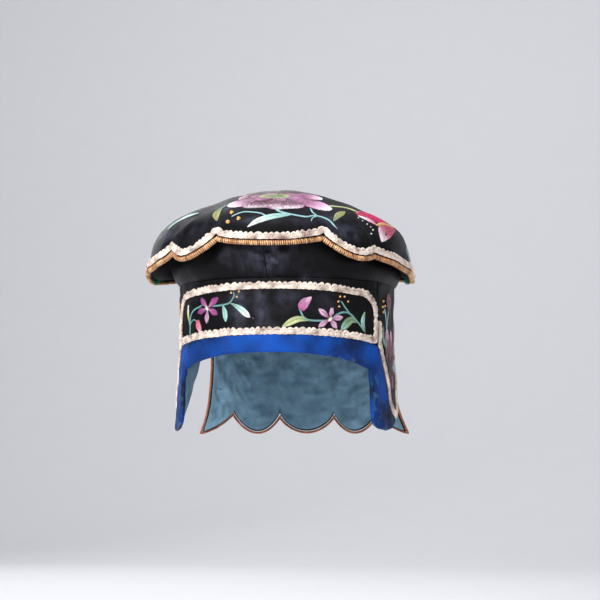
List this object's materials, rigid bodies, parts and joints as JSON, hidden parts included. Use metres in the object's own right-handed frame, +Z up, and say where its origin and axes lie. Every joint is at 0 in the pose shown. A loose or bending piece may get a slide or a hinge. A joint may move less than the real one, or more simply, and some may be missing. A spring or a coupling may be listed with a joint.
{
  "type": "embroidered baby hat",
  "caption": "Child's black satin hat with a scalloped embroidered lid over a domed crown, a braid-edged forehead panel, blue-bound ear flaps and a wide scalloped neck flap.",
  "frame": {"origin": "where the head bears against the inside of the crown, at the middle of the band's oval", "axes": "+Z up along the head; the face opening looks along -Y and the neck flap hangs at +Y; +X is the wearer's left"},
  "size_m": [0.1926, 0.208, 0.1744],
  "materials": {
    "black_satin": "silk satin with a soft sheen",
    "blue_silk": "plain weave silk, faded in places",
    "pale_blue_lining": "worn plain weave cotton",
    "cream_braid": "matte woven braid with looped edge",
    "gold_wrapped_cord": "cord wrapped in fine gilt thread",
    "green_silk": "loose silk floss"
  },
  "bodies": {
    "root": {"crown_left": "black_satin", "crown_right": "black_satin", "lid": "black_satin", "lid_braid": "cream_braid", "lid_cord": "gold_wrapped_cord", "tuft_left": "green_silk", "tuft_right": "green_silk", "front_panel": "black_satin", "forehead_binding": "blue_silk", "panel_braid": "cream_braid", "ear_flap_left": "black_satin", "ear_flap_right": "black_satin", "ear_lining_left": "pale_blue_lining", "ear_lining_right": "pale_blue_lining", "ear_binding_left": "blue_silk", "ear_binding_right": "blue_silk", "ear_braid_left": "cream_braid", "ear_braid_right": "cream_braid", "neck_flap": "black_satin", "neck_lining": "pale_blue_lining", "neck_cord": "gold_wrapped_cord"}
  },
  "joints": []
}
